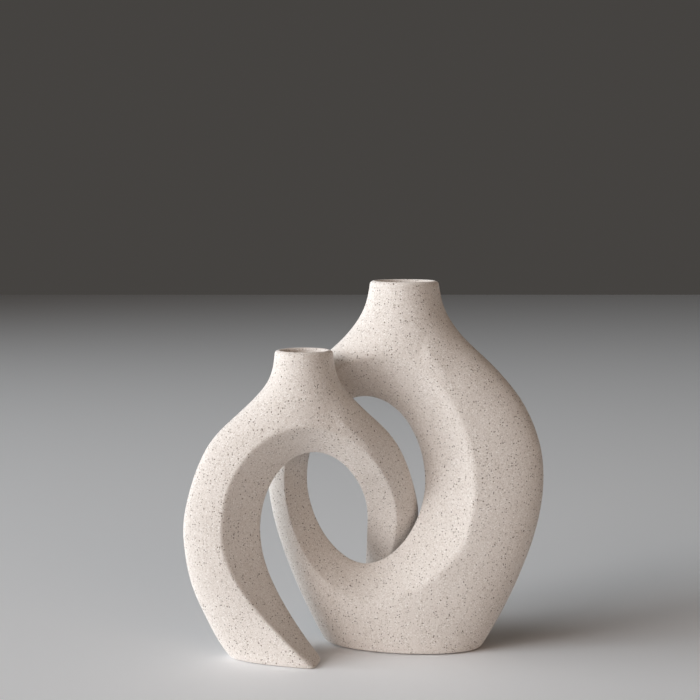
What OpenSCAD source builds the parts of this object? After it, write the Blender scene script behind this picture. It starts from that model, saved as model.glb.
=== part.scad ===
// A pair of interlocking ring vases in matte speckled stoneware, in millimetres.
// The tall vase is a closed ring on a flat oval base. The small vase is an open ring that stands in
// front of it on a horn-shaped foot, and its right arm sweeps back through the hole of the tall one.
// Each vase is one hollow casting, with an arris round the hole and a ridge where its bevel ends.
// Origin: centre of the tall vase's base. X runs to the right, Y to the back and Z up.

/* [Tall vase] */
// Height from the table to the rim
large_h = 250; // [235:1:270]
// Widest width of the body
large_w = 189; // [180:1:205]
// Depth of the body, front to back
large_d = 53; // [48:1:56]
// Height of the widest point
large_belly_z = 117; // [110:1:125]
// Width of the flat base
large_base_w = 107; // [95:1:118]
// Depth of the flat base
large_base_d = 53; // [46:1:56]
// Outer diameter of the neck at the rim
large_neck_d = 46; // [42:0.5:50]
// Width of the hole through the ring
large_hole_w = 81.5; // [76:0.5:86]
// Height of the hole through the ring
large_hole_h = 116; // [112:1:120]
// Height of the hole's centre
large_hole_z = 113; // [110:1:116]
// Distance of the hole's centre to the left of the neck
large_hole_left = 26.2; // [24:0.1:28]
// Fullness of the lower half of the hole: 2 is an ellipse, and less is slimmer
large_sill_full = 1.8; // [1.7:0.05:2]
// Turn of the vase about its neck, which brings its right side forward
large_turn_deg = 9; // [6:0.5:12]
// Angle of the bevel on the right of the hole, from the plane of the ring
large_right_deg = 31; // [28:0.5:35]
// Angle of the bevel on the left of the hole
large_left_deg = 44; // [40:0.5:48]
// Angle of the bevel at the bottom of the hole
large_sill_deg = 50; // [44:0.5:54]
// Length of the straight bore inside the neck
large_bore_len = 24; // [20:0.5:27]

/* [Small vase] */
// Height from the table to the rim
small_h = 206; // [198:1:214]
// Distance from the neck's axis to the left side of the body
small_left_w = 80.5; // [77:0.5:84]
// Distance from the neck's axis to the right side of the body
small_right_w = 77.5; // [74:0.5:79]
// Depth of the body, front to back
small_d = 42; // [38:0.5:44]
// Height of the widest point
small_belly_z = 86; // [82:1:90]
// Distance from the neck's axis to the left end of the foot
small_foot_w = 50; // [46:0.5:54]
// Depth of the foot
small_foot_d = 40; // [36:0.5:42]
// Outer diameter of the neck at the rim
small_neck_d = 38; // [35:0.5:41]
// Width of the opening inside the ring
small_hole_w = 71.5; // [68:0.5:74]
// Height of the arch above the opening's centre
small_arch_h = 52; // [50:0.5:54]
// Distance of the opening's centre to the right of the neck
small_hole_right = 6.5; // [4:0.5:8]
// Distance of the foot's tip to the right of the neck
small_toe_x = 12; // [8:0.5:14]
// Height of the tip of the right arm
small_tip_z = 36; // [34:0.5:40]
// Distance of the arm's tip to the right of the neck
small_tip_x = 41; // [38:0.5:43]
// Fullness of the arm's outline towards its tip: 2 is an ellipse, and more is blunter
tip_full = 2.3; // [1.8:0.1:2.6]
// Depth of the arm at its tip
small_tip_d = 24; // [18:0.5:26]
// Angle of the bevel round the opening, from the plane of the ring
small_bevel_deg = 30.5; // [28:0.5:34]
// Angle of the bevel over the arch, under the neck
small_arch_deg = 44; // [38:0.5:48]
// Angle of the bevel at the toe of the foot
small_toe_deg = 78; // [64:1:80]
// Length of the straight bore inside the neck
small_bore_len = 30; // [26:0.5:32]

/* [How they stand together] */
// Distance of the small vase's neck to the left of the tall one's
small_at_left = 66.7; // [65.5:0.1:68]
// Distance of the small vase's neck in front of the tall vase's face, where its shoulder passes that
small_at_gap = 11.04; // [10.04:0.25:15.04]
// Gap from the depth of the tall vase to the tip of the right arm behind it
arm_tip_gap = 5.5; // [1.5:0.5:9.5]
// How far the toe of the foot turns forward
toe_sweep = 11; // [6:0.5:14]

/* [Pottery] */
// Thickness of the cast wall
wall = 4.5; // [3.5:0.25:5]
// Radius of the edge of the feet
edge_r = 2.4; // [1.5:0.1:3]
// Rounding of the arris round each opening
nose_r = 1.2; // [0.8:0.1:2]
// Length over which a ridge melts away where it fades
melt = 14; // [6:1:20]

/* [Hidden] */

// Half the thickness left at an arris, so that no face closes to nothing
sliver = wall / 12;
// Radius of the rims, inside and outside, which leaves a narrow flat between the two
lip_r = 0.42 * wall;
// How far a cut runs past the face that it opens
overrun = wall / 2;

// Half-depth of the tall vase where the small shoulder passes it, as a share of its full half-depth
passed_share = 0.64;
// Distance of the small vase's neck in front of the tall one's, and how far its right arm sweeps back
// from there to its tip
small_at_front = passed_share * large_d / 2 + small_at_gap;
arm_sweep = small_at_front + large_d / 2 + arm_tip_gap + small_tip_d / 2;

// Outlines: share of the height, then share of the way from the base or the neck to the belly
large_lower_shares = [[0, 0], [0.17, 0.27], [0.42, 0.6], [0.72, 0.89], [1, 1]];
large_upper_shares = [
    [0, 1], [0.2, 0.955], [0.415, 0.775], [0.6, 0.48], [0.69, 0.28], [0.78, 0.137], [0.88, 0.036], [1, 0]];
small_lower_shares = [[0, 0], [0.13, 0.26], [0.32, 0.53], [0.53, 0.79], [0.75, 0.94], [1, 1]];
small_upper_shares = [
    [0, 1], [0.23, 0.92], [0.45, 0.755], [0.55, 0.615], [0.63, 0.44], [0.71, 0.27], [0.78, 0.135],
    [0.83, 0.065], [0.9, 0.02], [1, 0]];
// Fullness of an oval that is an ellipse
ellipse_full = 2;
// How steeply the depth of each neck opens into the depth of its body: more is steeper
shoulder_power = 3;
// Height at which the lines to each neck are evenly apart, as a share of the way from belly to rim
large_gather_share = 0.66;
small_gather_share = 0.62;
// How late those lines fan out: 1 is evenly from the hole to the neck, and more is later
fan_power = 1.5;
// How far up the right arm its cavity ends, as a share of the way from tip to belly
arm_cavity_share = 0.3;

// Places of the rings round a rounded edge, as shares of its radius
edge_shares = [0, 0.13, 0.5, 1];
// Places of the last points of a line, as shares of its rounded edge
end_shares = [0.1, 0.65, 1];
// Places of the last lines of the arm, as shares of the way from belly to tip
tip_shares = [0.97, 0.993];
// Most of a line that its rounded edge takes, and the least that it is taken to run square to the arris
edge_most_share = 0.25;
square_least_share = 0.5;
// How far the points of a bevel crowd towards the arris: 1 is evenly spread
bevel_crowding = 1.5;

// Lines up each side of the tall casting, and of its cavity
large_side_steps = 34;
large_hollow_steps = 20;
// Lines up the leg, along each side of the arch and down the arm of the small casting
small_leg_steps = 17;
small_arch_steps = 20;
small_arm_steps = 11;
// The same for its cavity
small_hollow_leg_steps = 9;
small_hollow_arch_steps = 11;
small_hollow_arm_steps = 6;
// Lines under the base and at the rim of a casting, and of a cavity
base_steps = 12;
hollow_base_steps = 6;
rim_steps = 10;
hollow_rim_steps = 4;
// Points of a line on its bevel and on its face
bevel_steps = 5;
face_steps = 7;
// Halvings of a line in the search for its ridge
ridge_halvings = 14;
// Length over which the lean of an edge is measured
lean_step = wall / 10;
half_turn = 180;
full_turn = 360;
// Facets round a bore, and the turn of each step of its flare
bore_facets = 96;
flare_step_deg = 15;

// Where each ridge and bevel changes round a hole: the middle of the change, and its spread
bottom_deg = 270;
sill_spread_deg = 70;
sill_melt_spread_deg = 40;
neck_deg = 68;
neck_melt_spread_deg = 34;
arch_deg = 85;
arch_spread_deg = 75;
arch_melt_deg = 72;
arch_melt_spread_deg = 32;

// Angles round the small opening: where the arm starts back and how softly, where the toe starts
// forward, and the gap between arm and toe
sweep_start_deg = 85;
sweep_ease_deg = 45;
toe_start_deg = 225;
gap_deg = -80;

function mix(a, b, t) = a + (b - a) * t;
function clamp(t) = min(max(t, 0), 1);
function steps(n) = [for (i = [1 : n - 1]) i / n];
function reversed(list) = [for (i = [len(list) - 1 : -1 : 0]) list[i]];

// Points of an outline with where the line to each is aimed, from the hole: the point itself, or for
// those of the neck, places evenly apart at the height where its lines gather
function aimed(outline, gather, width) =
    let (
        neck = [for (i = [0 : len(outline) - 1]) if (outline[i].y > gather) i],
        a = min(neck),
        b = max(neck),
        first = a - (outline[a].y - gather) / (outline[a].y - outline[a - 1].y),
        last = b + (outline[b].y - gather) / (outline[b].y - outline[b + 1].y))
    [for (i = [0 : len(outline) - 1])
        let (share = 2 * (i - first) / (last - first) - 1)
        [outline[i], outline[i].y > gather ? [share * width(gather, share), gather] : outline[i]]];

// How far a line to a height fans out with the width, from not at all at a belly to fully at its gather
function fan_share(z, belly, gather) =
    let (t = clamp((z - belly) / (gather - belly))) t * t * (3 - 2 * t);

// Smooth curve through a table of shares, level where it reaches its full share
function table_slope(table, i) =
    let (a = table[max(i - 1, 0)], b = table[min(i + 1, len(table) - 1)])
    table[i][1] == 1 ? 0 : (b[1] - a[1]) / (b[0] - a[0]);
function table_span(table, t, i = 0) =
    i == len(table) - 2 || t < table[i + 1][0] ? i : table_span(table, t, i + 1);
function table_curve(table, t) =
    let (i = table_span(table, t), a = table[i], b = table[i + 1], h = b[0] - a[0], s = (t - a[0]) / h)
    a[1] * (1 + 2 * s) * (1 - s) * (1 - s) + b[1] * s * s * (3 - 2 * s)
    + h * s * (1 - s) * (table_slope(table, i) * (1 - s) - table_slope(table, i + 1) * s);

// The smaller of two values, rounded where they meet over the length k
function soft_min(a, b, k) =
    k <= 0 ? min(a, b) : let (h = clamp((1 + (b - a) / k) / 2)) mix(b, a, h) - k * h * (1 - h) / 2;

// Fades from 1 at an angle to 0 at a spread on either side of it
function bump(angle, centre, spread) =
    let (off = abs((angle - centre + full_turn + half_turn) % full_turn - half_turn))
    off < spread ? pow(cos(90 * off / spread), 2) : 0;

// How far a rounded edge draws in at a distance from its end, at a foot and at a rim
function drawn_in(z, r) = z >= r ? 0 : r - sqrt(r * r - pow(r - max(z, 0), 2));
function foot_in(z) = drawn_in(z, edge_r);
function lip_in(z) = drawn_in(z, lip_r);

// Half-depth of an oval section at a distance from the axis
function oval(x, half_w, half_d) = half_d * sqrt(max(0, 1 - pow(x / half_w, 2)));

// Point of an oval in the direction of a target
function oval_point(centre, half, full, target) =
    let (d = target - centre, k = pow(abs(d.x / half.x), full) + pow(abs(d.y / half.y), full))
    centre + d / pow(k, 1 / full);
// Slopes across an oval at a point, the distance of a point from it, and its outward normal
function oval_slope(centre, half, full, p) =
    let (d = p - centre)
    [for (i = [0, 1]) sign(d[i]) * pow(abs(d[i] / half[i]), full - 1) / half[i]];
function oval_away(centre, half, full, p) =
    let (
        d = p - centre,
        k = pow(pow(abs(d.x / half.x), full) + pow(abs(d.y / half.y), full), 1 / full),
        slope = oval_slope(centre, half, full, p) / pow(k, full - 1))
    max(k - 1, 0) / norm(slope);
function oval_normal(centre, half, full, p) =
    let (n = oval_slope(centre, half, full, p)) n / norm(n);

// A line across the casting: its ends, on the arris and on the outline, and its way if it bends
function line_at(line, v) = is_undef(line[2]) ? mix(line[0], line[1], v) : line[2](v);
// Point of an arris, drawn in by a skin on the way to a target
function drawn_from(p, target, normal, bevel, skin) =
    let (dir = (target - p) / norm(target - p))
    p + dir * skin / sin(bevel) / max(dir * normal, square_least_share);
// Line from an arris to the outline: as far as its fan share goes, it widens and narrows with the width
function line_to(p, q, fan, width) =
    let (start = p.x / width(p.y, p.x), end = q.x / width(q.y, q.x))
    fan == 0 ? [p, q]
    : [p, q, function(v)
        let (straight = mix(p, q, v), u = mix(start, end, pow(v, fan_power)))
        [mix(straight.x, u * width(straight.y, u), fan), straight.y]];

// Half the thickness under a bevel, at a distance from its arris and from the skin that it starts at
function rise(away, bevel, skin) =
    let (s = max(away - skin / sin(bevel), 0)) tan(bevel) * sqrt(s * (s + 2 * nose_r)) + sliver;

// Share of the line at which the bevel meets the face
function ridge_at(line, body, bevel, low = 0, high = 1, n = ridge_halvings) =
    let (v = (low + high) / 2, p = line_at(line, v))
    n == 0 ? v
    : bevel(p)[0] < body(p)
        ? ridge_at(line, body, bevel, v, high, n - 1)
        : ridge_at(line, body, bevel, low, v, n - 1);

// Places of the grid along a line: closer at the arris, at the ridge and at the outline
function stations(line, body, bevel) =
    let (
        ridge = ridge_at(line, body, bevel),
        edge = max(ridge, 1 - min(edge_r / norm(line[1] - line[0]), edge_most_share)))
    concat(
        [for (t = concat([0], steps(bevel_steps))) ridge * pow(t, bevel_crowding)],
        [ridge],
        [for (t = steps(face_steps)) mix(ridge, edge, sin(90 * t))],
        [for (t = end_shares) mix(edge, 1, t)]);

// The loop of points round the casting at a line: along its front, then back along its back
function loop(line, body, bevel, sweep) =
    let (
        flat = [for (v = stations(line, body, bevel))
            let (p = line_at(line, v), b = bevel(p)) [p, max(soft_min(b[0], body(p), b[1]), sliver)]],
        front = [for (f = flat) [f[0].x, sweep(f[0]) - f[1], f[0].y]],
        back = [for (f = flat) [f[0].x, sweep(f[0]) + f[1], f[0].y]])
    concat(front, reversed(back));

// Triangles between loops of m points, closed on itself or capped at both ends
function loop_faces(n, m, ring) = [
    for (i = [0 : n - (ring ? 1 : 2)], j = [0 : m - 1])
        let (a = i * m + j, b = i * m + (j + 1) % m, c = ((i + 1) % n) * m + (j + 1) % m,
            d = ((i + 1) % n) * m + j)
        each [[a, b, c], [a, c, d]],
    for (end = ring ? [] : [0, n - 1], j = [0 : m / 2 - 2])
        let (a = end * m + j, b = a + 1, c = end * m + m - 2 - j, d = c + 1)
        each end == 0 ? [[a, d, c], [a, c, b]] : [[a, b, c], [a, c, d]]];

// A casting as a solid, from its lines and from its half-depths on its face and on its bevel
module casting(lines, body, bevel, sweep, ring) {
    loops = [for (line = lines) loop(line, body, bevel, sweep)];
    polyhedron([for (l = loops) each l], loop_faces(len(loops), len(loops[0]), ring));
}

// Tall vase
large_bore_r = large_neck_d / 2 - wall;
large_hole = [-large_hole_left, large_hole_z];
large_hole_half = [large_hole_w / 2, large_hole_h / 2];
// Height at which the lines to the neck are evenly apart, and the top of the cavity
large_gather_z = mix(large_belly_z, large_h, large_gather_share);
large_cavity_top = large_h - large_bore_len;

function large_share(z) = z < large_belly_z
    ? table_curve(large_lower_shares, z / large_belly_z)
    : table_curve(large_upper_shares, (z - large_belly_z) / (large_h - large_belly_z));
function large_half_w(z) =
    mix(z < large_belly_z ? large_base_w : large_neck_d, large_w, large_share(z)) / 2;
function large_half_d(z) = z < large_belly_z
    ? mix(large_base_d, large_d, large_share(z)) / 2
    : mix(large_neck_d, large_d, 1 - pow(1 - large_share(z), shoulder_power)) / 2;
large_body = function(p)
    let (z = clamp(p.y / large_h) * large_h, in = foot_in(z) + lip_in(large_h - z))
    oval(p.x, large_half_w(z) - in, large_half_d(z) - in);
large_hollow = function(p) oval(p.x, large_half_w(p.y) - wall, large_half_d(p.y) - wall);
no_sweep = function(p) 0;

// Angle of the bevel at a point, from the plane of the ring
function large_deg(p) =
    let (
        angle = atan2(p.y - large_hole_z, p.x + large_hole_left),
        side = mix(large_right_deg, large_left_deg, (1 - cos(angle)) / 2))
    mix(side, large_sill_deg, bump(angle, bottom_deg, sill_spread_deg));
function large_full(p) = p.y < large_hole_z ? large_sill_full : ellipse_full;
// Half-depth under the bevel at a point, and the length over which its ridge is melted
function large_bevel(skin) = function(p)
    let (
        angle = atan2(p.y - large_hole_z, p.x + large_hole_left),
        soft = max(
            bump(angle, neck_deg, neck_melt_spread_deg), bump(angle, bottom_deg, sill_melt_spread_deg)),
        away = oval_away(large_hole, large_hole_half, large_full(p), p))
    [rise(away, large_deg(p), skin), melt * soft];

// Line to a point of the outline, aimed from the middle of the hole
function large_line(q, target, skin, width) =
    let (
        p = oval_point(large_hole, large_hole_half, large_full(target), target),
        normal = oval_normal(large_hole, large_hole_half, large_full(target), p))
    line_to(
        drawn_from(p, target, normal, large_deg(p), skin), q,
        fan_share(q.y, large_belly_z, large_gather_z), width);

// Outline as points, clockwise from the right end of the base
function large_outline(bottom, top, heights, base_n, rim_n, width) =
    let (w0 = width(bottom, 1), w1 = width(top, 1))
    concat(
        [for (t = steps(base_n)) [w0 * cos(180 * t), bottom]],
        [for (z = heights) [-width(z, -1), z]],
        [for (t = steps(rim_n)) [-w1 * cos(180 * t), top]],
        [for (z = reversed(heights)) [width(z, 1), z]]);

large_outer_lines =
    let (
        width = function(z, side) large_half_w(z) - foot_in(z) - lip_in(large_h - z),
        heights = concat(
            [for (t = edge_shares) t * edge_r],
            [for (t = steps(large_side_steps)) mix(edge_r, large_h - lip_r, t)],
            [for (t = reversed(edge_shares)) large_h - t * lip_r]),
        outline = large_outline(0, large_h, heights, base_steps, rim_steps, width))
    [for (q = aimed(outline, large_gather_z, width)) large_line(q[0], q[1], 0, width)];
large_cavity_lines =
    let (
        width = function(z, side) large_half_w(z) - wall,
        heights = [for (t = concat([0], steps(large_hollow_steps), [1])) mix(wall, large_cavity_top, t)],
        outline = large_outline(
            wall, large_cavity_top, heights, hollow_base_steps, hollow_rim_steps, width))
    [for (q = aimed(outline, large_gather_z, width)) large_line(q[0], q[1], wall, width)];

// The straight bore of a neck, flared at its mouth
module bore(r, length, top) {
    translate([0, 0, top - length - overrun])
        rotate_extrude($fn = bore_facets)
            polygon([
                [0, 0],
                [r, 0],
                for (a = [0 : flare_step_deg : 90])
                    [r + lip_r * (1 - cos(a)), length + overrun - lip_r * (1 - sin(a))],
                [r + lip_r, length + 2 * overrun],
                [0, length + 2 * overrun]]);
}

module large_vase() {
    color("antiquewhite")
        rotate([0, 0, -large_turn_deg])
            difference() {
                casting(large_outer_lines, large_body, large_bevel(0), no_sweep, true);
                casting(large_cavity_lines, large_hollow, large_bevel(wall), no_sweep, true);
                bore(large_bore_r, large_bore_len, large_h);
            }
}

// Small vase
small_bore_r = small_neck_d / 2 - wall;
small_hole = [small_hole_right, small_belly_z];
small_hole_half = [small_hole_w / 2, small_arch_h];
small_gather_z = mix(small_belly_z, small_h, small_gather_share);
small_cavity_top = small_h - small_bore_len;
small_arm_h = small_belly_z - small_tip_z;

function small_share(z) = z < small_belly_z
    ? table_curve(small_lower_shares, z / small_belly_z)
    : table_curve(small_upper_shares, (z - small_belly_z) / (small_h - small_belly_z));
// Share of the way up the arm, from its tip to the belly
function arm_share(z) = clamp((z - small_tip_z) / small_arm_h);
function small_left(z) =
    z < small_belly_z
        ? mix(small_foot_w, small_left_w, small_share(z))
        : mix(small_neck_d / 2, small_left_w, small_share(z));
function small_right(z) =
    z < small_belly_z
        ? mix(small_tip_x, small_right_w, pow(1 - pow(1 - arm_share(z), tip_full), 1 / tip_full))
        : mix(small_neck_d / 2, small_right_w, small_share(z));
// Side of the ring that a point is on: -1 for the left with its leg, 1 for the right with its arm
function small_side(p) =
    p.y < small_tip_z || p.x < (p.y < small_belly_z ? small_hole_right : 0) ? -1 : 1;
function small_half_d(p) =
    p.y >= small_belly_z ? mix(small_neck_d, small_d, 1 - pow(1 - small_share(p.y), shoulder_power)) / 2
    : small_side(p) < 0 ? mix(small_foot_d, small_d, sin(90 * clamp(p.y / small_belly_z))) / 2
    : mix(small_tip_d, small_d, sin(90 * arm_share(p.y))) / 2;
function small_section(p, in) =
    oval(p.x, (small_side(p) < 0 ? small_left(p.y) : small_right(p.y)) - in, small_half_d(p) - in);
small_body = function(p)
    let (z = clamp(p.y / small_h) * small_h)
    small_section([p.x, z], (small_side(p) < 0 ? foot_in(z) : 0) + lip_in(small_h - z));
small_hollow = function(p) small_section(p, wall);

// Angle round the opening, from 0 at the right over the arch to 270 at the toe
function small_angle(p) =
    let (a = atan2(p.y - small_hole.y, p.x - small_hole.x)) a < gap_deg ? a + full_turn : a;
tip_angle = small_angle([small_tip_x, small_tip_z]);
toe_angle = small_angle([small_toe_x, 0]);

// How far the middle of the ring stands back from the neck
function swept(a) =
    let (d = sweep_start_deg - a)
    d <= 0 ? 0 : d < sweep_ease_deg ? d * d / sweep_ease_deg / 2 : d - sweep_ease_deg / 2;
small_sweep = function(p)
    let (a = small_angle(p))
    arm_sweep * swept(a) / swept(tip_angle)
    - toe_sweep * pow(max(0, a - toe_start_deg) / (toe_angle - toe_start_deg), 2);

// The inner edge of the leg, on side -1, and of the arm, on side 1, and its outward normal: the way from
// the opening into the clay
function leg_x(z) = mix(small_toe_x, small_hole.x - small_hole_half.x, sin(90 * clamp(z / small_belly_z)));
function arm_x(z) = mix(small_tip_x, small_hole.x + small_hole_half.x, sin(90 * arm_share(z)));
function inner_x(z, side) = side < 0 ? leg_x(z) : arm_x(z);
function inner_normal(z, side) =
    let (lean = (inner_x(z + lean_step, side) - inner_x(z, side)) / lean_step)
    side * [1, -lean] / norm([1, lean]);
// How far that edge is drawn in by the rounded edge of the foot
function inner_in(z, side) = side < 0 ? foot_in(z) : 0;

// Angle of the bevel at a point, from the plane of the ring
function small_deg(p) = p.y >= small_belly_z
    ? mix(small_bevel_deg, small_arch_deg,
        bump(atan2(p.y - small_hole.y, p.x - small_hole.x), arch_deg, arch_spread_deg))
    : small_side(p) < 0 ? mix(small_toe_deg, small_bevel_deg, sin(90 * clamp(p.y / small_belly_z)))
    : small_bevel_deg;
// Half-depth under the bevel at a point, and the length over which its ridge is melted
function small_bevel(skin) = function(p)
    let (
        angle = atan2(p.y - small_hole.y, p.x - small_hole.x),
        side = small_side(p),
        away = p.y >= small_belly_z ? oval_away(small_hole, small_hole_half, ellipse_full, p)
            : (p.x - inner_x(p.y, side)) * inner_normal(p.y, side).x - inner_in(p.y, side))
    [rise(away, small_deg(p), skin),
        p.y < small_belly_z ? 0 : melt * bump(angle, arch_melt_deg, arch_melt_spread_deg)];

// Level line across the leg or the arm at a height
function level_line(z, side, skin) =
    let (
        normal = inner_normal(z, side),
        p = [inner_x(z, side) + inner_in(z, side) / normal.x, z],
        q = [side < 0 ? foot_in(z) + skin - small_left(z) : small_right(z) - skin, z])
    [drawn_from(p, q, normal, small_deg(p), skin), q];

// Line from the arch to a point of the outline, aimed from the middle of the opening
function arch_line(q, target, skin, width) =
    let (
        p = oval_point(small_hole, small_hole_half, ellipse_full, target),
        normal = oval_normal(small_hole, small_hole_half, ellipse_full, p))
    line_to(
        drawn_from(p, target, normal, small_deg(p), skin), q,
        fan_share(q.y, small_belly_z, small_gather_z), width);

// Lines from the foot up the leg, over the arch and down the arm
function small_lines(leg, sides, top, rim_n, arm, skin) =
    let (
        in = function(z) skin + lip_in(small_h - z),
        width = function(z, side) (side < 0 ? small_left(z) : small_right(z)) - in(z),
        arch = concat(
            [for (z = sides) [-width(z, -1), z]],
            [for (t = steps(rim_n)) [-(small_neck_d / 2 - in(top)) * cos(180 * t), top]],
            [for (z = reversed(sides)) [width(z, 1), z]]))
    concat(
        [for (z = leg) level_line(z, -1, skin)],
        [for (q = aimed(arch, small_gather_z, width)) arch_line(q[0], q[1], skin, width)],
        [for (z = arm) level_line(z, 1, skin)]);

small_outer_lines = small_lines(
    concat([for (t = edge_shares) t * edge_r],
        [for (t = steps(small_leg_steps)) mix(edge_r, small_belly_z, t)]),
    concat([for (t = concat([0], steps(small_arch_steps))) mix(small_belly_z, small_h - lip_r, t)],
        [for (t = reversed(edge_shares)) small_h - t * lip_r]),
    small_h, rim_steps,
    [for (t = concat(steps(small_arm_steps), tip_shares)) mix(small_belly_z, small_tip_z, t)],
    0);
small_cavity_lines = small_lines(
    [for (t = concat([0], steps(small_hollow_leg_steps))) mix(wall, small_belly_z, t)],
    [for (t = concat([0], steps(small_hollow_arch_steps), [1])) mix(small_belly_z, small_cavity_top, t)],
    small_cavity_top, hollow_rim_steps,
    [for (t = steps(small_hollow_arm_steps))
        mix(small_belly_z, mix(small_tip_z, small_belly_z, arm_cavity_share), t)],
    wall);

module small_vase() {
    color("linen")
        translate([-small_at_left, -small_at_front, 0])
            difference() {
                casting(small_outer_lines, small_body, small_bevel(0), small_sweep, false);
                casting(small_cavity_lines, small_hollow, small_bevel(wall), small_sweep, false);
                bore(small_bore_r, small_bore_len, small_h);
            }
}

large_vase();
small_vase();
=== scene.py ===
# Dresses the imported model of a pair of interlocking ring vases, in metres.
# Each vase starts as a copy of its casting, is made smooth with crisp ridges round its opening, and gets
# a finish of matte speckled stoneware. The pair stands on a plain pale floor in soft studio light.
import math

import bmesh
import bpy
from mathutils import Matrix, Vector
from mathutils.kdtree import KDTree


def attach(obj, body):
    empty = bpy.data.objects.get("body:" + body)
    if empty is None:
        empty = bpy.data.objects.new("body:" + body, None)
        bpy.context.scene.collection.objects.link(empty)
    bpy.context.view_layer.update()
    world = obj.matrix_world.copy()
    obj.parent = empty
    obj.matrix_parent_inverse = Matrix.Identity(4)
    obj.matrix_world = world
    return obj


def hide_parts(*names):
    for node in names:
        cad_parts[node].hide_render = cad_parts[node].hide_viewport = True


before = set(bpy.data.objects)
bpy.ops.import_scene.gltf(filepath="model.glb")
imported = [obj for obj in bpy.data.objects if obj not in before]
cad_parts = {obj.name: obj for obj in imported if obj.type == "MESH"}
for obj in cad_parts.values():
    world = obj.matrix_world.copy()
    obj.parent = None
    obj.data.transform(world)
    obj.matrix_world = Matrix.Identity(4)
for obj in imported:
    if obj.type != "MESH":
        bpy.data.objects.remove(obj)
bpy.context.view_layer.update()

bl_info = {
    "name": "Interlocking ring vases",
    "version": (1, 0, 0),
    "blender": (4, 5, 0),
    "location": "View3D > Sidebar > Ring vases",
    "description": "Finishes a tall and a small ring vase in speckled stoneware and sets up their studio",
    "category": "Object",
}

MM = 0.001

# Middle of each vase's opening, which its ridge runs round.
TALL_OPENING = (-0.0259, 0.0041, 0.113)
SMALL_OPENING = (-0.0602, -0.028, 0.086)

# The softboxes: direction from the vases, distance and width in metres, spread in degrees, power and
# colour.
SOFTBOXES = {
    "key": {
        "towards": (-0.93, -0.26, 0.27), "distance": 4.5, "width": 3.8, "spread": 70,
        "watts": 72, "colour": (0.92, 0.97, 1.0)},
    "left_fill": {
        "towards": (-0.66, -0.65, 0.36), "distance": 3.0, "width": 1.6, "spread": 180,
        "watts": 25, "colour": (1.0, 0.86, 0.78)},
    "right_fill": {
        "towards": (0.5, -0.8, 0.3), "distance": 3.0, "width": 2.0, "spread": 180,
        "watts": 11, "colour": (1.0, 0.70, 0.48)},
}

# Sockets of a Mix node that mixes colours, by number, because several of them share a name.
MIX_SHARE, MIX_FIRST, MIX_SECOND, MIX_RESULT = 0, 6, 7, 2


class CastingSettings(bpy.types.PropertyGroup):
    """How the surface of each casting is worked"""

    seam: bpy.props.FloatProperty(
        name="Seam", description="Points closer than this are joined", default=0.02 * MM, unit="LENGTH")
    quad_fold: bpy.props.FloatProperty(
        name="Quad fold", description="Most that two triangles may fold to become one quad",
        default=math.radians(35), subtype="ANGLE")
    quad_skew: bpy.props.FloatProperty(
        name="Quad skew", description="Most that a quad's corners may differ from right angles",
        default=math.radians(70), subtype="ANGLE")
    ridge_angle: bpy.props.FloatProperty(
        name="Ridge angle", description="Least fold that is kept as a crisp ridge",
        default=math.radians(17), subtype="ANGLE")
    ridge_width: bpy.props.FloatProperty(
        name="Ridge width", description="Least width of the faces on both sides of a ridge",
        default=1.4 * MM, unit="LENGTH")
    ridge_crease: bpy.props.FloatProperty(
        name="Ridge crispness", description="Crease of a ridge, from 0, soft, to 1, sharp", default=0.85)
    ridge_run: bpy.props.FloatProperty(
        name="Ridge run", default=0.6,
        description="Most that a ridge may point or face away from the opening, from 0 to 1")
    neck: bpy.props.FloatProperty(
        name="Neck", description="Length below the rim in which no fold is kept crisp",
        default=45 * MM, unit="LENGTH")
    ridge_margin: bpy.props.FloatProperty(
        name="Ridge margin", description="Distance from a ridge that the sponge keeps",
        default=1.5 * MM, unit="LENGTH")
    ridge_fade: bpy.props.FloatProperty(
        name="Ridge fade", description="Width beyond that margin over which the sponge takes hold",
        default=3 * MM, unit="LENGTH")
    lip: bpy.props.FloatProperty(
        name="Lip", default=5 * MM, unit="LENGTH",
        description="Height of the rim that isn't sponged, and over which the sponge takes hold")
    sponge_depth: bpy.props.FloatProperty(
        name="Sponged length", description="Length of the neck and shoulders that is sponged smooth",
        default=75 * MM, unit="LENGTH")
    sponge_fade: bpy.props.FloatProperty(
        name="Sponge fade", default=0.25,
        description="Share of that length, at its lower end, over which the sponge fades")
    sponge_force: bpy.props.FloatProperty(
        name="Sponge force", description="How far one pass evens out a point, from 0 to 1", default=0.5)
    sponge_passes: bpy.props.IntProperty(
        name="Sponge passes", description="Times that the neck and shoulders are sponged", default=14)


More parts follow.
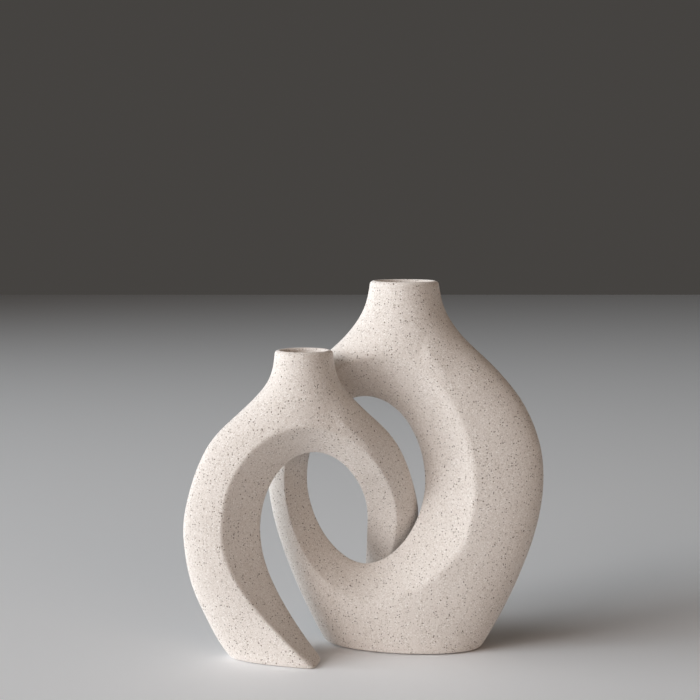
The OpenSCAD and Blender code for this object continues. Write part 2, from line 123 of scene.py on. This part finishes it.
class ClaySettings(bpy.types.PropertyGroup):
    """Colours and grain of the speckled stoneware"""

    clay: bpy.props.FloatVectorProperty(
        name="Clay", description="Colour of the clay between its speckles",
        default=(0.80, 0.755, 0.72), subtype="COLOR", size=3)
    sand: bpy.props.FloatVectorProperty(
        name="Sand", description="Colour of its darker sandy grain",
        default=(0.40, 0.33, 0.27), subtype="COLOR", size=3)
    chalk: bpy.props.FloatVectorProperty(
        name="Chalk", description="Colour of its pale specks",
        default=(0.95, 0.93, 0.91), subtype="COLOR", size=3)
    iron: bpy.props.FloatVectorProperty(
        name="Iron", description="Colour of its dark specks",
        default=(0.10, 0.055, 0.03), subtype="COLOR", size=3)
    cloudiness: bpy.props.FloatProperty(
        name="Cloudiness", default=0.05,
        description="Most sand colour in the clouds of the clay, from 0 to 1")
    graininess: bpy.props.FloatProperty(
        name="Graininess", default=0.25,
        description="Most sand colour in the finest grain, from 0 to 1")
    sandiness: bpy.props.FloatProperty(
        name="Sandiness", default=0.4,
        description="Most sand colour in the grains of sand, from 0 to 1")
    chalkiness: bpy.props.FloatProperty(
        name="Chalkiness", description="Strength of the pale specks, from 0 to 1", default=0.85)
    darkness: bpy.props.FloatProperty(
        name="Darkness", description="Strength of the dark specks, from 0 to 1", default=0.95)
    clouds: bpy.props.FloatProperty(
        name="Clouds", description="Clouds of the clay to the metre", default=35.0)
    patches: bpy.props.FloatProperty(
        name="Patches", description="Patches of sand to the metre", default=90.0)
    crowds: bpy.props.FloatProperty(
        name="Crowds", description="Crowds of fine dark specks to the metre", default=160.0)
    grain: bpy.props.FloatProperty(
        name="Grain", description="Size of the finest grain", default=0.8 * MM, unit="LENGTH")
    sand_gap: bpy.props.FloatProperty(
        name="Sand apart", description="Usual distance between grains of sand",
        default=1.0 * MM, unit="LENGTH")
    pale_gap: bpy.props.FloatProperty(
        name="Pale specks apart", description="Usual distance between pale specks",
        default=0.9 * MM, unit="LENGTH")
    fine_gap: bpy.props.FloatProperty(
        name="Fine specks apart", description="Usual distance between fine dark specks",
        default=1.5 * MM, unit="LENGTH")
    coarse_gap: bpy.props.FloatProperty(
        name="Coarse specks apart", description="Usual distance between coarse dark specks",
        default=4.0 * MM, unit="LENGTH")
    speck_edge: bpy.props.FloatProperty(
        name="Speck edge", description="Width of a speck's soft edge, as a share of the specks' distance",
        default=0.07)
    pit_depth: bpy.props.FloatProperty(
        name="Pit depth", default=0.6,
        description="Depth of a pit at a speck, as a share of the grain's height")
    roughness: bpy.props.FloatProperty(
        name="Roughness", description="Roughness of the bare clay", default=0.78)


class StudioSettings(bpy.types.PropertyGroup):
    """Camera, light and floor"""

    picture: bpy.props.IntProperty(
        name="Picture", description="Width of the picture in pixels", default=700)
    focal: bpy.props.FloatProperty(
        name="Focal length", description="In pixels of that picture", default=1400)
    sensor: bpy.props.FloatProperty(
        name="Sensor", description="Width of the sensor in millimetres", default=36)
    pitch: bpy.props.FloatProperty(
        name="Pitch", description="How far the camera looks down",
        default=math.radians(5.7), subtype="ANGLE")
    camera: bpy.props.FloatVectorProperty(
        name="Camera", description="Place of the camera",
        default=(-0.0365, -0.940, 0.297), subtype="TRANSLATION", size=3)
    aim: bpy.props.FloatVectorProperty(
        name="Aim", description="Place that the softboxes face",
        default=(-0.02, 0, 0.12), subtype="TRANSLATION", size=3)
    glow: bpy.props.FloatVectorProperty(
        name="Glow", description="Colour of the empty space around, and of the faint light that it gives",
        default=(0.06, 0.056, 0.052), subtype="COLOR", size=3)
    floor: bpy.props.FloatProperty(
        name="Floor", description="Width of the floor", default=8.0, unit="LENGTH")
    floor_colour: bpy.props.FloatVectorProperty(
        name="Floor colour", description="Colour of the floor",
        default=(0.88, 0.89, 0.91), subtype="COLOR", size=3)
    floor_roughness: bpy.props.FloatProperty(
        name="Floor roughness", description="Roughness of the floor", default=0.6)


def select_only(piece):
    """Selects one object and makes it active."""
    bpy.ops.object.select_all(action="DESELECT")
    piece.select_set(True)
    bpy.context.view_layer.objects.active = piece


def copy_of(node, name):
    """A copy of a node of the frame, with its own mesh and no parent."""
    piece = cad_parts[node].copy()
    piece.data = piece.data.copy()
    piece.name = name
    piece.data.name = name
    piece.parent = None
    piece.matrix_world = Matrix.Identity(4)
    for key in list(piece.keys()):
        del piece[key]
    bpy.context.collection.objects.link(piece)
    return piece


def crease_ridges(piece, settings, opening):
    """Creases the long folds that run round the opening, and returns their places.

    The neck, the lines that cross the casting and its round outer side stay soft.
    """
    mesh = bmesh.new()
    mesh.from_mesh(piece.data)
    crease = mesh.edges.layers.float.new("crease_edge")
    highest = max(vertex.co.z for vertex in mesh.verts) - settings.neck
    places = []
    for edge in mesh.edges:
        first, second = (end.co for end in edge.verts)
        if edge.calc_face_angle(0) < settings.ridge_angle or max(first.z, second.z) > highest:
            continue
        middle = (first + second) / 2
        outward = middle - Vector(opening)
        outward.y = 0
        outward.normalize()
        length = max(edge.calc_length(), settings.seam)
        widths = [face.calc_area() / length for face in edge.link_faces]
        runs_out = abs((second - first).normalized().dot(outward))
        faces_out = sum((face.normal for face in edge.link_faces), Vector()).normalized().dot(outward)
        if max(runs_out, faces_out) < settings.ridge_run and min(widths) > settings.ridge_width:
            edge[crease] = settings.ridge_crease
            places += [first.copy(), middle, second.copy()]
    mesh.to_mesh(piece.data)
    mesh.free()
    ridges = KDTree(len(places))
    for index, place in enumerate(places):
        ridges.insert(place, index)
    ridges.balance()
    return ridges


def add_and_apply(piece, name, kind, **values):
    """Adds a modifier, sets its values and applies it."""
    modifier = piece.modifiers.new(name, kind)
    for key, value in values.items():
        setattr(modifier, key, value)
    bpy.ops.object.modifier_apply(modifier=modifier.name)


def divide(piece, name):
    """Divides the surface once."""
    add_and_apply(piece, name, "SUBSURF", levels=1, render_levels=1)


def sponge_neck(piece, settings, ridges):
    """Evens out the neck and shoulders, as a damp sponge does, and leaves the lip and the ridges."""
    top = max(vertex.co.z for vertex in piece.data.vertices)
    group = piece.vertex_groups.new(name="sponged")
    for vertex in piece.data.vertices:
        below_lip = top - vertex.co.z - settings.lip
        to_ridge = ridges.find(vertex.co)[2]
        weight = min(
            below_lip / settings.lip,
            (1 - below_lip / settings.sponge_depth) / settings.sponge_fade,
            (to_ridge - settings.ridge_margin) / settings.ridge_fade,
            1)
        if weight > 0:
            group.add([vertex.index], weight, "REPLACE")
    add_and_apply(
        piece, "Sponge", "SMOOTH",
        factor=settings.sponge_force, iterations=settings.sponge_passes, vertex_group=group.name)
    piece.vertex_groups.clear()


def smooth_casting(piece, settings, opening):
    """Joins the casting's triangles to quads, creases its ridges, divides it and sponges its neck."""
    select_only(piece)
    bpy.ops.object.mode_set(mode="EDIT")
    bpy.ops.mesh.select_all(action="SELECT")
    bpy.ops.mesh.remove_doubles(threshold=settings.seam)
    bpy.ops.mesh.tris_convert_to_quads(
        face_threshold=settings.quad_fold, shape_threshold=settings.quad_skew)
    bpy.ops.object.mode_set(mode="OBJECT")
    ridges = crease_ridges(piece, settings, opening)
    divide(piece, "Divide")
    sponge_neck(piece, settings, ridges)
    divide(piece, "Divide again")
    bpy.ops.object.shade_smooth()


class Nodes:
    """Adds a material's shader nodes and links them."""

    def __init__(self, material):
        material.use_nodes = True
        self.tree = material.node_tree
        self.tree.nodes.clear()

    def feed(self, socket, value):
        """Links a socket to another, or sets its value or colour."""
        if isinstance(value, bpy.types.NodeSocket):
            self.tree.links.new(value, socket)
        elif socket.type == "RGBA":
            socket.default_value = (*value, 1)
        else:
            socket.default_value = value

    def add(self, kind, label, inputs=None, **settings):
        """A node with its settings, and its inputs by name or number."""
        node = self.tree.nodes.new("ShaderNode" + kind)
        node.label = label
        for key, value in settings.items():
            setattr(node, key, value)
        for key, value in (inputs or {}).items():
            self.feed(node.inputs[key], value)
        return node

    def mix(self, label, share, first, second):
        """A colour between two others."""
        node = self.add(
            "Mix", label, {MIX_SHARE: share, MIX_FIRST: first, MIX_SECOND: second},
            data_type="RGBA", clamp_factor=True)
        return node.outputs[MIX_RESULT]

    def math(self, label, operation, first, second):
        """The result of an operation on two values."""
        return self.add("Math", label, {0: first, 1: second}, operation=operation).outputs[0]

    def ramp(self, label, value, low, high, start=0.0, end=1.0):
        """A value from start to end that follows smoothly as another goes from low to high."""
        node = self.add(
            "MapRange", label,
            {"Value": value, "From Min": low, "From Max": high, "To Min": start, "To Max": end},
            interpolation_type="SMOOTHSTEP")
        return node.outputs["Result"]

    def noise(self, label, place, scale, detail, roughness=0.5):
        """Cloudy noise, with a number of clouds to the metre."""
        node = self.add(
            "TexNoise", label, {"Vector": place, "Scale": scale, "Detail": detail, "Roughness": roughness})
        return node.outputs["Fac"]

    def surface(self, label, **inputs):
        """Makes the shader the material's surface. An input's name has _ for each space."""
        shader = self.add(
            "BsdfPrincipled", label, {key.replace("_", " "): value for key, value in inputs.items()})
        self.add("OutputMaterial", "Surface", {"Surface": shader.outputs[0]})


def specks(nodes, label, place, gap, edge, smallest, largest, kept):
    """Mask of round specks.

    They lie about a gap apart. Their soft edge, smallest radius and largest radius are shares of that
    gap, and only a share of them is kept.
    """
    cells = nodes.add(
        "TexVoronoi", label, {"Vector": place, "Scale": 1 / gap, "Randomness": 1.0},
        voronoi_dimensions="3D", feature="F1")
    lot = nodes.add("SeparateColor", label + " lot", {"Color": cells.outputs["Color"]})
    radius = nodes.ramp(
        label + " radius", lot.outputs["Red"], low=0.0, high=1.0, start=smallest, end=largest)
    reach = nodes.math(label + " reach", "SUBTRACT", radius, cells.outputs["Distance"])
    shape = nodes.ramp(label + " shape", reach, low=0.0, high=edge)
    chosen = nodes.math(label + " chosen", "LESS_THAN", lot.outputs["Green"], kept)
    return nodes.math(label, "MULTIPLY", shape, chosen)


def stoneware(slot, settings):
    """Matte cream stoneware: cloudy clay, sandy grain, pale and dark specks, and a dry bumpy skin."""
    material = bpy.data.materials.new(slot)
    nodes = Nodes(material)
    place = nodes.add("TexCoord", "Place").outputs["Object"]
    cloud = nodes.noise("Clouds", place, settings.clouds, detail=3.0, roughness=0.55)
    grain = nodes.noise("Grain", place, 1 / settings.grain, detail=2.0, roughness=0.7)
    patch = nodes.noise("Patches", place, settings.patches, detail=2.0)
    crowd = nodes.noise("Crowds", place, settings.crowds, detail=1.0)
    edge = settings.speck_edge
    sand = specks(
        nodes, "Sand", place, settings.sand_gap, edge, smallest=0.25, largest=0.5, kept=0.5)
    pale = specks(
        nodes, "Pale specks", place, settings.pale_gap, edge, smallest=0.225, largest=0.45, kept=0.5)
    fine = specks(
        nodes, "Fine specks", place, settings.fine_gap, edge, smallest=0.128, largest=0.32, kept=0.7)
    coarse = specks(
        nodes, "Coarse specks", place, settings.coarse_gap, edge, smallest=0.08, largest=0.16, kept=0.7)

    cloudy = nodes.ramp("Cloud spread", cloud, low=0.35, high=0.7)
    grainy = nodes.ramp("Grain spread", grain, low=0.4, high=0.7)
    in_patches = nodes.ramp("Sand spread", patch, low=0.3, high=0.65, start=0.5)
    in_crowds = nodes.ramp("Crowding", crowd, low=0.35, high=0.6, start=0.35)
    sandy = nodes.math("Sand in patches", "MULTIPLY", sand, in_patches)
    iron = nodes.math("Iron", "MAXIMUM", nodes.math("Fine iron", "MULTIPLY", fine, in_crowds), coarse)

    colour = settings.clay
    for label, mask, strength, layer in (
            ("Cloudy clay", cloudy, settings.cloudiness, settings.sand),
            ("Grainy clay", grainy, settings.graininess, settings.sand),
            ("Chalk in clay", pale, settings.chalkiness, settings.chalk),
            ("Sandy clay", sandy, settings.sandiness, settings.sand),
            ("Iron in clay", iron, settings.darkness, settings.iron)):
        share = nodes.math(label + " share", "MULTIPLY", mask, strength)
        colour = nodes.mix(label, share, colour, layer)

    pitted = nodes.math("Pitted", "MAXIMUM", sand, fine)
    pits = nodes.math("Pits", "MULTIPLY", pitted, settings.pit_depth)
    height = nodes.math("Grain height", "SUBTRACT", grain, pits)
    wavy = nodes.add("Bump", "Hand-worked", {"Strength": 0.35, "Distance": 0.25 * MM, "Height": cloud})
    skin = nodes.add(
        "Bump", "Dry skin",
        {"Strength": 0.8, "Distance": 0.3 * MM, "Height": height, "Normal": wavy.outputs[0]})
    nodes.surface(
        "Stoneware", Base_Color=colour, Normal=skin.outputs[0], Roughness=settings.roughness,
        Specular_IOR_Level=0.3, Diffuse_Roughness=0.6)
    return material


def make_vase(node, name, slot, body, opening):
    """A finished vase: a worked copy of its casting, whose ridge runs round the middle of its opening."""
    scene = bpy.context.scene
    piece = copy_of(node, name)
    smooth_casting(piece, scene.vase_casting, opening)
    piece.data.materials.clear()
    piece.data.materials.append(stoneware(slot, scene.vase_clay))
    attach(piece, body)
    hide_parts(node)


class VASE_OT_tall(bpy.types.Operator):
    """Finishes the tall closed ring vase"""

    bl_idname = "vase.tall"
    bl_label = "Tall vase"

    def execute(self, context):
        make_vase("large_vase", "tall_vase", "stoneware_tall", "large_vase", TALL_OPENING)
        return {"FINISHED"}


class VASE_OT_small(bpy.types.Operator):
    """Finishes the small open ring vase"""

    bl_idname = "vase.small"
    bl_label = "Small vase"

    def execute(self, context):
        make_vase("small_vase", "little_vase", "stoneware_small", "small_vase", SMALL_OPENING)
        return {"FINISHED"}


def lay_floor(studio):
    """A plain floor, which isn't part of the object."""
    bpy.ops.mesh.primitive_plane_add(size=studio.floor)
    floor = bpy.context.object
    floor.name = "floor"
    material = bpy.data.materials.new("pale_floor")
    Nodes(material).surface(
        "pale_floor", Base_Color=studio.floor_colour, Roughness=studio.floor_roughness,
        Specular_IOR_Level=0.3)
    floor.data.materials.append(material)


def hang_softbox(name, aim, towards, distance, width, spread, watts, colour):
    """A square softbox that hangs in a direction from the vases and faces them.

    A spread under 180 degrees is that of a softbox with a grid.
    """
    direction = Vector(towards).normalized()
    bpy.ops.object.light_add(type="AREA", location=Vector(aim) + distance * direction)
    lamp = bpy.context.object
    lamp.name = name
    lamp.rotation_euler = direction.to_track_quat("Z", "Y").to_euler()
    lamp.data.size = width
    lamp.data.energy = watts
    lamp.data.color = colour
    lamp.data.spread = math.radians(spread)


def set_camera(studio):
    """The camera, at the photograph's height and angle."""
    bpy.ops.object.camera_add(location=studio.camera, rotation=(math.pi / 2 - studio.pitch, 0, 0))
    camera = bpy.context.object
    camera.data.sensor_width = studio.sensor
    camera.data.lens = studio.sensor * studio.focal / studio.picture
    bpy.context.scene.camera = camera


class VASE_OT_studio(bpy.types.Operator):
    """Adds the floor, the soft light and the camera"""

    bl_idname = "vase.studio"
    bl_label = "Studio"

    def execute(self, context):
        scene = context.scene
        studio = scene.vase_studio
        lay_floor(studio)
        for name, softbox in SOFTBOXES.items():
            hang_softbox(name, studio.aim, **softbox)
        scene.world = bpy.data.worlds.new("studio")
        scene.world.use_nodes = True
        scene.world.node_tree.nodes["Background"].inputs["Color"].default_value = (*studio.glow, 1)
        set_camera(studio)
        scene.view_settings.view_transform = "Standard"
        return {"FINISHED"}


class VASE_PT_panel(bpy.types.Panel):
    """Buttons for each vase and the studio, with their settings"""

    bl_idname = "VASE_PT_panel"
    bl_label = "Ring vases"
    bl_space_type = "VIEW_3D"
    bl_region_type = "UI"
    bl_category = "Ring vases"

    def draw(self, context):
        for maker in MAKERS:
            self.layout.operator(maker.bl_idname)
        for name in SETTINGS:
            settings = getattr(context.scene, name)
            box = self.layout.box()
            for key in settings.__annotations__:
                box.prop(settings, key)


MAKERS = (VASE_OT_tall, VASE_OT_small, VASE_OT_studio)
SETTINGS = {"vase_casting": CastingSettings, "vase_clay": ClaySettings, "vase_studio": StudioSettings}


def register():
    """Registers the classes and gives the scene their settings."""
    for kind in (*SETTINGS.values(), *MAKERS, VASE_PT_panel):
        bpy.utils.register_class(kind)
    for name, kind in SETTINGS.items():
        setattr(bpy.types.Scene, name, bpy.props.PointerProperty(type=kind))


def unregister():
    """Undoes what register does."""
    for name in SETTINGS:
        delattr(bpy.types.Scene, name)
    for kind in reversed((*SETTINGS.values(), *MAKERS, VASE_PT_panel)):
        bpy.utils.unregister_class(kind)


def main():
    """Makes the vases and the studio."""
    register()
    bpy.ops.vase.tall()
    bpy.ops.vase.small()
    bpy.ops.vase.studio()


if __name__ == "__main__":
    main()
